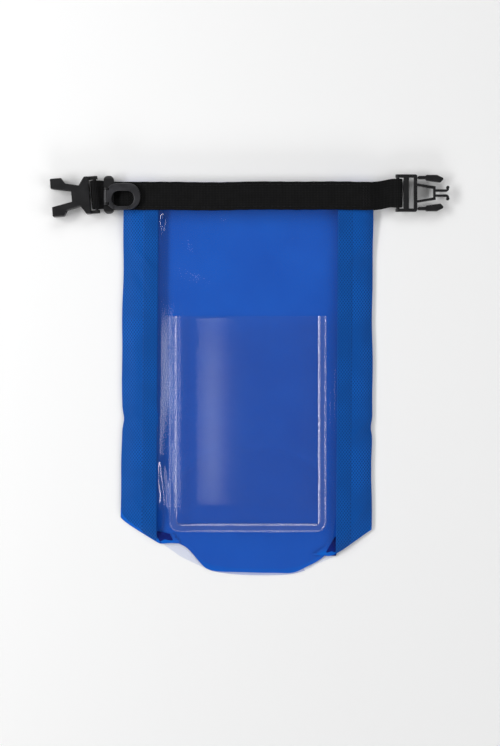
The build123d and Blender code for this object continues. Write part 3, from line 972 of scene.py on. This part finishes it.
@dataclass
class Base:
    """The oval base panel, its clear weld rim and the tape over its back seam."""

    form: BagForm
    fabric: float = 0.4
    rim_width: float = 2.3
    rim_left: float = -27.0
    rim_right: float = 40.0
    tape_width: float = 10.0
    tape_run: float = 230.0

    def panel(self) -> Piece:
        """The flat base fabric: an oval whose lower edge is drawn in where it is welded to the film."""
        form = self.form

        def place(u: Array, v: Array) -> Array:
            """Places of the shaped piece, in the row frame."""
            a, b = u * 2 - 1, v * 2 - 1
            x = a * np.sqrt(1 - b * b / 2) * form.base_a + form.base_x
            y = b * np.sqrt(1 - a * a / 2) * form.base_b + form.base_b
            share = np.clip((x - form.base_x) / form.base_a, -0.97, 0.97)
            depth = form.base_b * np.sqrt(1 - share**2)
            stretch = np.where(y < form.base_b, (form.base_b - form.base_line(x)) / depth, 1.0)
            fade = np.clip((1 - np.abs(x - form.base_x) / form.base_a) / 0.03, 0, 1)
            y = form.base_b + (y - form.base_b) * (1 + (stretch - 1) * fade)
            return form.to_row(stack(x, y, 0.06 + self.lift(x, y)))

        def flat(u: Array, v: Array) -> Array:
            """Places on the cloth laid flat, in metres."""
            return stack(u * 2 * form.base_a, v * 2 * form.base_b, u * 0) * MM

        obj = sheet_mesh(
            "oval_base_panel", 96, 76, place, flat, self.fabric, Finish.OUTER_FABRIC, Finish.BASE_FABRIC, flip=True
        )
        return obj

    def lift(self, x: Array, y: Array) -> Array:
        """How the base's lower part rises off the floor towards its welded edge."""
        gap = np.maximum(y - self.form.base_line(x), 0)
        return 0.35 * np.exp(-gap / 3.0) * settle((46 - y) / 10)

    def rim(self) -> Piece:
        """The narrow clear edge past the base's fabric, where the film is trimmed."""
        form = self.form
        left, right = self.rim_left, self.rim_right

        def place(u: Array, v: Array) -> Array:
            """Places of the shaped piece, in the row frame."""
            x = left + u * (right - left)
            slope = form.film_line(x + 0.5) - form.film_line(x - 0.5)
            reach = v * self.rim_width / np.sqrt(1 + slope**2)
            bead = 0.42 + 0.22 * np.sin(math.pi * v)
            return form.to_row(stack(x - slope * reach, form.film_line(x) + reach, bead))

        def flat(u: Array, v: Array) -> Array:
            """Places on the cloth laid flat, in metres."""
            return stack(u * (right - left), v * self.rim_width, u * 0) * MM

        return sheet_mesh("clear_weld_rim", 140, 6, place, flat, 0.3, Finish.RIM)

    def tape(self) -> Piece:
        """Seam tape inside, along the base's back seam."""
        form = self.form
        half = self.tape_width / 2
        start = math.asin(min(1.0, (form.corner_y + half + 5 - form.base_b) / form.base_b))

        def place(u: Array, v: Array) -> Array:
            """Places of the shaped piece, in the row frame."""
            angle = start + u * (math.pi - 2 * start)
            across = (v * 2 - 1) * half
            x = form.base_x + (form.base_a + across) * np.cos(angle)
            y = form.base_b + (form.base_b + across) * np.sin(angle)
            step = 0.42 * settle((across + 3.2) / 1.6)
            return form.to_row(stack(x, y, 0.74 + step))

        def flat(u: Array, v: Array) -> Array:
            """Places on the cloth laid flat, in metres."""
            return stack(u * self.tape_run, v * self.tape_width, u * 0) * MM

        obj = sheet_mesh("base_seam_tape", 150, 10, place, flat, 0.2, Finish.SEAM_TAPE, flip=True)
        return obj

    def build(self) -> list[Piece]:
        """Builds the three pieces on the main body."""
        made = {
            "base_panel": (self.panel(), "blue_fabric"),
            "base_rim": (self.rim(), "clear_film"),
            "base_tape": (self.tape(), "seam_tape"),
        }
        return mount(made, "main")


@dataclass
class CornerShades:
    """Two small dark sheets under the film beside the base's ends, standing for the shade in the bag's inner corners:
    painted shade.
    """

    form: BagForm
    left: tuple[tuple[float, float], ...] = ((-67.0, 30.5), (-56.0, 28.2), (-62.6, 21.6), (-52.8, 22.2))
    right: tuple[tuple[float, float], ...] = ((61.4, 25.6), (66.0, 27.0), (53.6, 12.4), (62.4, 12.4))

    def corner(self, name: str, spots: Sequence[tuple[float, float]]) -> Piece:
        """One dark sheet of painted corner shade between four points: upper two, then lower two."""
        top_left, top_right, low_left, low_right = (np.array(spot) for spot in spots)
        form = self.form

        def spread(u: Array, v: Array) -> Array:
            """Places across the corner, in bag millimetres."""
            low = low_left + (low_right - low_left) * u[:, None]
            top = top_left + (top_right - top_left) * u[:, None]
            return low + (top - low) * v[:, None]

        def place(u: Array, v: Array) -> Array:
            """Places of the shaped piece, in the row frame."""
            xy = spread(u, v)
            fold = 0.35 * np.sin(u * 9 + v * 2)
            z = 1.25 + 1.2 * v + fold * v
            return form.to_row(stack(xy[:, 0], xy[:, 1], z))

        def flat(u: Array, v: Array) -> Array:
            """Places on the cloth laid flat, in metres."""
            return np.hstack([spread(u, v), np.zeros((len(u), 1))]) * MM

        # The sheet's dark navy finish is painted shade for the shadowed inner corner.
        obj = sheet_mesh(name, 16, 14, place, flat, 0.4, Finish.FOLDED_CORNER)
        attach(obj, "main")
        return obj

    def build(self) -> list[Piece]:
        """Builds both painted corner shade sheets on the main body."""
        return [self.corner("left_corner_shade", self.left), self.corner("right_corner_shade", self.right)]


@dataclass
class PhonePocket:
    """The clear pocket on the window: a raised panel, open at the top, in a welded border."""

    tube: Tube
    left: float
    right: float
    low: float
    high: float
    border: float = 6.0
    overlap: float = 0.4
    puff: float = 0.7
    shoulder: float = 14.0
    camber: float = 2.35
    bead: float = 0.5
    film: float = 0.35

    @classmethod
    def from_frame(cls, tube: Tube) -> "PhonePocket":
        """Reads the pocket's outline from the frame."""
        low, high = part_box("pocket_border")
        form = tube.form
        shift = form.drift(np.array([100.0]))[0]
        return cls(
            tube,
            low.x / MM - form.centre_x + shift * 0.5,
            high.x / MM - form.centre_x + shift * 0.5,
            low.y / MM - form.base_y,
            high.y / MM - form.base_y,
        )

    def panel(self) -> Piece:
        """The raised clear panel: evenly cambered, eased down to its weld on three sides, with a lip on top."""
        form = self.tube.form
        left, right = self.left + self.border - self.overlap, self.right - self.border + self.overlap
        low = self.low + self.border - self.overlap
        middle, half = (left + right) / 2, (right - left) / 2

        def place(u: Array, v: Array) -> Array:
            """Places of the shaped piece, in the row frame."""
            x = left + u * (right - left)
            y = low + v * (self.high - low)
            edge = np.minimum(x - left, right - x)
            sides = settle(edge / self.shoulder)
            foot = settle((y - low) / self.shoulder)
            camber = self.camber * (1 - ((x - middle) / half) ** 2)
            lip = 0.35 * np.exp(-((self.high - y) / 0.9))
            base = self.tube.window_height(x, y) + 0.5
            full = form.thickness - 0.6 + self.puff + camber + lip
            inside = sides * foot
            return form.to_row(stack(x, y, base * (1 - inside) + full * inside))

        def flat(u: Array, v: Array) -> Array:
            """Places on the cloth laid flat, in metres."""
            return stack(u * (right - left), v * (self.high - low), u * 0) * MM

        obj = sheet_mesh("phone_pocket_panel", 110, 130, place, flat, self.film, Finish.POCKET)
        return obj

    def rim(self) -> Piece:
        """The welded border: a flat band with a bead along each edge, round three sides."""
        form = self.tube.form
        width, tall = self.right - self.left, self.high - self.low
        corner = self.border + 1.5
        total = 2 * tall + width

        def place(u: Array, v: Array) -> Array:
            """Places of the shaped piece, in the row frame."""
            s = u * total
            inset = v * self.border
            turn = math.pi / 2 * corner
            straight = tall - corner
            bottom = width - 2 * corner
            stops = np.cumsum([straight, turn, bottom, turn, straight])
            s = s * stops[-1] / total
            radius = corner - inset
            a = np.clip((s - stops[0]) / corner, 0, math.pi / 2)
            b = np.clip((s - stops[2]) / corner, 0, math.pi / 2)
            run = np.clip(s - stops[1], 0, bottom)
            down = np.clip(s, 0, straight)
            up = np.clip(s - stops[3], 0, straight)
            x = self.left + inset + radius * (1 - np.cos(a)) + run + radius * np.sin(b)
            y = self.high - down - radius * np.sin(a) + radius * (1 - np.cos(b)) + up
            outer = np.exp(-(((v - 0.1) / 0.08) ** 2))
            inner = np.exp(-(((v - 0.88) / 0.08) ** 2))
            z = self.tube.window_height(x, y) + 0.42 + self.bead * (outer + 0.8 * inner)
            return form.to_row(stack(x, y, z))

        def flat(u: Array, v: Array) -> Array:
            """Places on the cloth laid flat, in metres."""
            return stack(v * self.border, u * total, u * 0) * MM

        return sheet_mesh("pocket_weld_border", 320, 30, place, flat, 0.35, Finish.WELD)

    def build(self) -> list[Piece]:
        """Builds panel and border on the main body."""
        made = {"pocket_panel": (self.panel(), "clear_film"), "pocket_border": (self.rim(), "clear_film")}
        return mount(made, "main")


# Webbing


def ribbon_mesh(
    name: str,
    path: Array,
    middle: Callable[[Array], Array],
    width: float,
    wall: float,
    form: BagForm,
    skew: float = 0.0,
) -> Piece:
    """Shapes a grid into webbing that follows a path.

    Args:
        name: The piece's name.
        path: Places in X and Z, in bag millimetres.
        middle: Gives the ribbon's middle Y for each X.
        width: Its width in millimetres.
        wall: Its thickness.
        form: The bag, for its frame.
        skew: How far its end slants, as X for each Y.

    Returns:
        The finished object.
    """
    step = np.hypot(*np.diff(path, axis=0).T)
    reach = np.concatenate([[0], np.cumsum(step)])
    rows = max(int(reach[-1] / 0.7), 12)

    def place(u: Array, v: Array) -> Array:
        """Places of the shaped piece, in the row frame."""
        s = v * reach[-1]
        x = np.interp(s, reach, path[:, 0])
        z = np.interp(s, reach, path[:, 1])
        edge = 0.12 * np.sin(s / 1.9) * np.abs(u * 2 - 1) ** 6
        across = (u - 0.5) * (width + edge)
        slant = skew * across * settle((np.abs(x) - form.half_width - 2) / 10)
        return form.to_row(stack(x + slant, middle(x) + across, z))

    def flat(u: Array, v: Array) -> Array:
        """Places on the cloth laid flat, in metres."""
        return stack(u * width, v * reach[-1], u * 0) * MM

    obj = link_mesh(name, shaped_grid(18, rows, place, flat))
    solid = obj.modifiers.new("wall", "SOLIDIFY")
    solid.thickness = wall * MM
    solid.offset = 0
    soft = obj.modifiers.new("edge", "BEVEL")
    soft.width = 0.42 * MM
    soft.segments = 3
    soft.limit_method = "ANGLE"
    soft.angle_limit = math.radians(50)
    settle_mesh(obj, 70)
    dress(obj, Finish.WEBBING)
    return obj


@dataclass
class MouthStrap:
    """The webbing across the mouth, its end loops, stitch rows and bar tacks, and the stiffener's hem."""

    form: BagForm
    wall: float = 1.35
    stitch_length: float = 3.2
    stitch_gap: float = 0.9
    stitch_width: float = 0.5

    def middle(self, x: Array) -> Array:
        """The webbing's middle line, which rises a little past both of the bag's edges."""
        form = self.form
        centre = form.length - form.strap_width / 2
        right = 2.2 * settle((x - form.half_width + 1) / 15)
        left = 1.0 * settle((-x - form.half_width + 1) / 19)
        sag = 0.25 * np.sin(x / 23) + 0.15 * np.sin(x / 9.5 + 1)
        return centre + right + left + sag * settle((form.half_width - np.abs(x)) / 15)

    def strap_height(self, x: Array) -> Array:
        """How high the strap's middle plane lies across the bag."""
        droop = 0.9 * settle((np.abs(x) - self.form.half_width + 9) / 10)
        return self.form.thickness + 0.72 - droop

    def strap(self) -> Piece:
        """The strap over the front of the mouth."""
        half = self.form.half_width - 1
        x = np.linspace(-half, half, 200)
        path = np.stack([x, self.strap_height(x)], axis=1)
        return ribbon_mesh("mouth_webbing", path, self.middle, self.form.strap_width, self.wall, self.form)

    def end_loop(self, side: int, joint: str) -> Piece:
        """The doubled end of the webbing round a buckle's bar, which is the named joint's axis."""
        form = self.form
        hinge = hinge_of(joint)
        bar = Vector(hinge["pos_m"])
        reach = abs(bar.x / MM - form.centre_x)
        level = bar.z / MM
        start = form.half_width - 1
        top = self.strap_height(np.array([start]))[0]
        spread, layer = 2.5, 0.74
        points = [
            (start, top),
            (start + 1.8, top - 0.5),
            (start + 6.6, level + layer),
            (reach - 4.2, level + layer),
            (reach - 1.6, level + spread),
            (reach + spread - 0.4, level + spread),
            (reach + spread, level + spread - 0.6),
            (reach + spread, level - spread + 0.6),
            (reach + spread - 0.4, level - spread),
            (reach - 1.6, level - spread),
            (reach - 4.2, level - layer),
            (start + 6.6, level - layer),
            (start + 4.6, level - layer + 1.0),
        ]
        path = smooth_path([(side * x, z) for x, z in points], 3)
        name = f"{'left' if side < 0 else 'right'}_webbing_loop"
        skew = hinge["axis"][0] / hinge["axis"][1]
        return ribbon_mesh(name, path, self.middle, form.strap_width, self.wall, form, skew)

    def stitch(self, bm: bmesh.types.BMesh, spot: Vector, length: float, angle: float) -> None:
        """Adds one stitch: a short fat thread, sunk at both ends."""
        made = bmesh.ops.create_icosphere(bm, subdivisions=1, radius=0.5)["verts"]
        bmesh.ops.scale(bm, vec=(length * MM, self.stitch_width * MM, self.stitch_width * MM), verts=made)
        turn = Vector((math.cos(angle), math.sin(angle)))
        for vert in made:
            x, y = vert.co.x, vert.co.y
            vert.co = spot + Vector((x * turn.x - y * turn.y, x * turn.y + y * turn.x, vert.co.z))

    def stitches(self, name: str, spots: Iterable[tuple[float, float, float]], length: float) -> Piece:
        """Makes a piece of many stitches.

        Args:
            name: The piece's name.
            spots: X and Y in bag millimetres and an angle for each stitch.
            length: Each stitch's length in millimetres.

        Returns:
            The finished object.
        """
        form = self.form
        bm = bmesh.new()
        for x, y, angle in spots:
            z = self.strap_height(np.array([x]))[0] + self.wall / 2 + 0.02
            place = Vector(form.to_row(np.array([[x, y, z]]))[0])
            self.stitch(bm, place, length, angle)
        obj = link_mesh(name, bm)
        for polygon in obj.data.polygons:
            polygon.use_smooth = True
        dress(obj, Finish.THREAD)
        return obj

    def stitch_row(self, name: str, node: str) -> Piece:
        """One straight row of stitches along the strap."""
        low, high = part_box(node)
        form = self.form
        y = (low.y + high.y) / 2 / MM - form.base_y
        pitch = self.stitch_length + self.stitch_gap
        start, end = low.x / MM - form.centre_x, high.x / MM - form.centre_x
        count = int((end - start) / pitch)
        centre = form.length - form.strap_width / 2
        spots = []
        for i in range(count):
            x = start + pitch * (i + 0.5)
            spots.append((x, y - centre + float(self.middle(np.array([x]))[0]), 0.0))
        return self.stitches(name, spots, self.stitch_length)

    def bar_tack(self, name: str, node: str) -> Piece:
        """A block of zigzag stitches at one end of the strap."""
        low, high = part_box(node)
        form = self.form
        x0, x1 = low.x / MM - form.centre_x + 0.6, high.x / MM - form.centre_x - 0.6
        y0, y1 = low.y / MM - form.base_y + 0.5, high.y / MM - form.base_y - 0.5
        spots = []
        for column in range(3):
            for row in range(14):
                y = y0 + (y1 - y0) * (row + 0.5) / 14
                x = x0 + (x1 - x0) * (column + 0.5) / 3
                spots.append((x, y, 0.55 if row % 2 else -0.55))
        return self.stitches(name, spots, 2.0)

    def stiffener_hem(self) -> Piece:
        """The fabric hem inside the back of the mouth that holds the stiffener."""
        low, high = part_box("stiffener_hem")
        form = self.form
        x0, x1 = low.x / MM - form.centre_x, high.x / MM - form.centre_x
        y0, y1 = low.y / MM - form.base_y, high.y / MM - form.base_y

        def place(u: Array, v: Array) -> Array:
            """Places of the shaped piece, in the row frame."""
            x = x0 + (x1 - x0) * u
            y = y0 + (y1 - y0) * v
            edge = np.minimum(v, 1 - v) * (y1 - y0)
            z = 0.85 + 1.0 * np.sqrt(np.clip(edge / 0.9, 0, 1))
            return form.to_row(stack(x, y, z))

        def flat(u: Array, v: Array) -> Array:
            """Places on the cloth laid flat, in metres."""
            return stack(u * (x1 - x0), v * (y1 - y0), u * 0) * MM

        obj = sheet_mesh("mouth_stiffener_hem", 60, 24, place, flat, 0.3, Finish.COATED_SIDE)
        return obj

    def build(self) -> list[Piece]:
        """Builds every piece on the mouth band."""
        made = {
            "mouth_strap": (self.strap(), "black_webbing"),
            "left_loop": (self.end_loop(-1, "female_swing"), "black_webbing"),
            "right_loop": (self.end_loop(1, "male_swing"), "black_webbing"),
            "upper_stitches": (self.stitch_row("upper_stitch_row", "upper_stitches"), "black_thread"),
            "lower_stitches": (self.stitch_row("lower_stitch_row", "lower_stitches"), "black_thread"),
            "left_tack": (self.bar_tack("left_bar_tack", "left_tack"), "black_thread"),
            "right_tack": (self.bar_tack("right_bar_tack", "right_tack"), "black_thread"),
            "stiffener_hem": (self.stiffener_hem(), "blue_fabric"),
        }
        return mount(made, "mouth_band")


def hinge_of(name: str) -> dict[str, object]:
    """A joint as the record gives it."""
    return next(joint for joint in frame["joints"] if joint["name"] == name)


@dataclass(frozen=True)
class Hardware:
    """The moulded pieces that keep their built shape: buckle, hook and stiffener."""

    finishes: tuple[tuple[str, Finish], ...] = (
        ("female_buckle", Finish.ACETAL),
        ("male_frame", Finish.ACETAL),
        ("upper_latch", Finish.ACETAL),
        ("lower_latch", Finish.ACETAL),
        ("hook_base", Finish.ACETAL),
        ("hook_ring", Finish.GREY_ACETAL),
        ("hook_gate", Finish.GREY_ACETAL),
        ("hook_pin", Finish.STEEL),
        ("mouth_stiffener", Finish.STIFFENER),
    )

    def build(self) -> list[Piece]:
        """Gives each piece its finish."""
        for node, finish in self.finishes:
            dress(frame["nodes"][node], finish)
        return [frame["nodes"][node] for node, _ in self.finishes]


# Studio


@dataclass
class Studio:
    """A pale floor, soft lights and a camera straight above."""

    lens: float = 100.0
    view_height: float = 0.5289
    camera_x: float = 0.00015
    camera_y: float = 0.00158
    floor_level: float = -0.2
    paper: tuple[float, float, float, float] = (0.95, 0.95, 0.95, 1.0)
    sky: float = 0.15
    softboxes: tuple[tuple[str, Vector, tuple[float, float], float], ...] = (
        ("key_strip", Vector((-0.9, 0.05, 0.75)), (0.9, 0.22), 7.0),
        ("left_softbox", Vector((-0.9, 0.6, 0.8)), (0.6, 0.6), 3.2),
        ("right_softbox", Vector((1.0, -0.2, 0.9)), (0.9, 0.9), 5.0),
        ("far_softbox", Vector((0.1, 1.1, 0.9)), (1.0, 0.6), 4.6),
        ("near_softbox", Vector((0.1, -1.9, 0.7)), (1.4, 0.5), 14.0),
    )
    streak_foot: tuple[float, float, float] = (-0.168, -0.058, 0.0)
    streak_height: float = 1.25

    def floor(self) -> None:
        """A plain pale floor, just under the bag."""
        bm = bmesh.new()
        bmesh.ops.create_grid(bm, x_segments=1, y_segments=1, size=2.5)
        bmesh.ops.translate(bm, vec=Vector((0, 0, self.floor_level * MM)), verts=bm.verts)
        obj = link_mesh("floor", bm)
        material, tree, out = new_material("matt white floor")
        surface(tree, out, {"Base Color": self.paper, "Roughness": 0.9, "Specular IOR Level": 0.1})
        obj.data.materials.append(material)

    def area_light(
        self, name: str, spot: Vector, size: tuple[float, float], power: float, aim: Vector = Vector((0, 0, 0))
    ) -> None:
        """A rectangular soft light.

        Args:
            name: The light's name.
            spot: Where it hangs.
            size: Its width and height in metres.
            power: Its power in watts.
            aim: The point that it faces.
        """
        data = bpy.data.lights.new(name, "AREA")
        data.shape = "RECTANGLE"
        data.size, data.size_y = size
        data.energy = power
        obj = bpy.data.objects.new(name, data)
        obj.location = spot
        obj.rotation_euler = (aim - spot).to_track_quat("-Z", "Y").to_euler()
        bpy.context.scene.collection.objects.link(obj)

    def camera(self) -> None:
        """The camera, straight above the bag."""
        data = bpy.data.cameras.new("camera")
        data.lens = self.lens
        data.sensor_width = 36
        data.clip_end = 20
        obj = bpy.data.objects.new("camera", data)
        obj.location = (self.camera_x, self.camera_y, self.view_height * self.lens / 36 + 0.006)
        bpy.context.scene.collection.objects.link(obj)
        bpy.context.scene.camera = obj

    def build(self) -> None:
        """Sets up floor, light and camera."""
        self.floor()
        self.camera()
        for light in self.softboxes:
            self.area_light(*light)
        streak = Vector(self.streak_foot)
        self.area_light("pocket_strip", streak + Vector((0, 0, self.streak_height)), (0.075, 0.25), 0.17, streak)
        world = bpy.data.worlds.new("studio")
        world.use_nodes = True
        world.node_tree.nodes["Background"].inputs[0].default_value = (1, 1, 1, 1)
        world.node_tree.nodes["Background"].inputs[1].default_value = self.sky
        bpy.context.scene.world = world
        bpy.context.scene.view_settings.view_transform = "Standard"


def main() -> None:
    """Builds the bag sub-assembly by sub-assembly and reports each piece."""
    logging.basicConfig(level=logging.INFO, format="%(name)s: %(message)s")
    Studio().build()
    form = BagForm.from_frame()
    tube = Tube(form)
    assemblies = (tube, Base(form), CornerShades(form), PhonePocket.from_frame(tube), MouthStrap(form), Hardware())
    for assembly in assemblies:
        for obj in assembly.build():
            log.info("%s: %s, %d faces", type(assembly).__name__, obj.name, len(obj.data.polygons))


if __name__ == "__main__":
    main()
